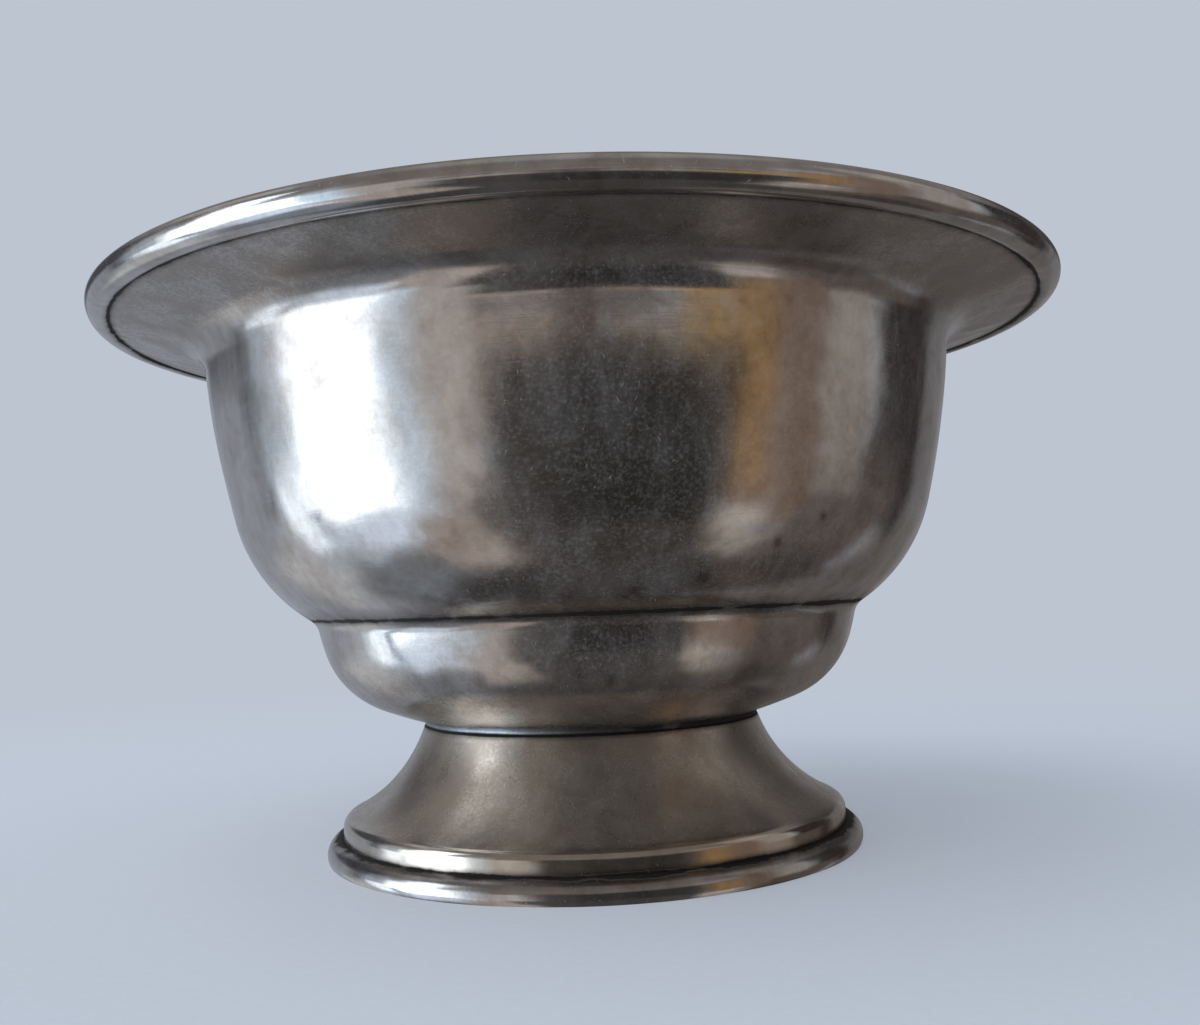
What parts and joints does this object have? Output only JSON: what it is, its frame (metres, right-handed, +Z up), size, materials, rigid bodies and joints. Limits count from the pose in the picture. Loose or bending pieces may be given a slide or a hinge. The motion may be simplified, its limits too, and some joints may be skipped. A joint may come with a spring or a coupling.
{
  "type": "footed metal cup",
  "caption": "Footed bowl-shaped metal cup with a wired brim, a deep belly, a stepped lower tier and a flared hollow foot, for holding food or drink.",
  "frame": {"origin": "centre of the foot, on the surface that the cup stands on", "axes": "+Z up along the turned axis, from the foot to the mouth; +X and +Y are alike, because every piece is turned"},
  "size_m": [0.15, 0.15, 0.0855],
  "materials": {
    "bowl_plate": "worn silver plate over brass, polished and scuffed",
    "wire_plate": "worn silver plate over brass, rubbed bright",
    "foot_plate": "worn silver plate over brass, satin",
    "solder": "dull hard solder",
    "dark_solder": "hard solder, black with dirt"
  },
  "bodies": {
    "root": {"bowl": "bowl_plate", "rim_wire": "wire_plate", "rim_solder": "solder", "foot": "foot_plate", "foot_wire": "wire_plate", "foot_solder": "solder", "neck_solder": "dark_solder"}
  },
  "joints": []
}
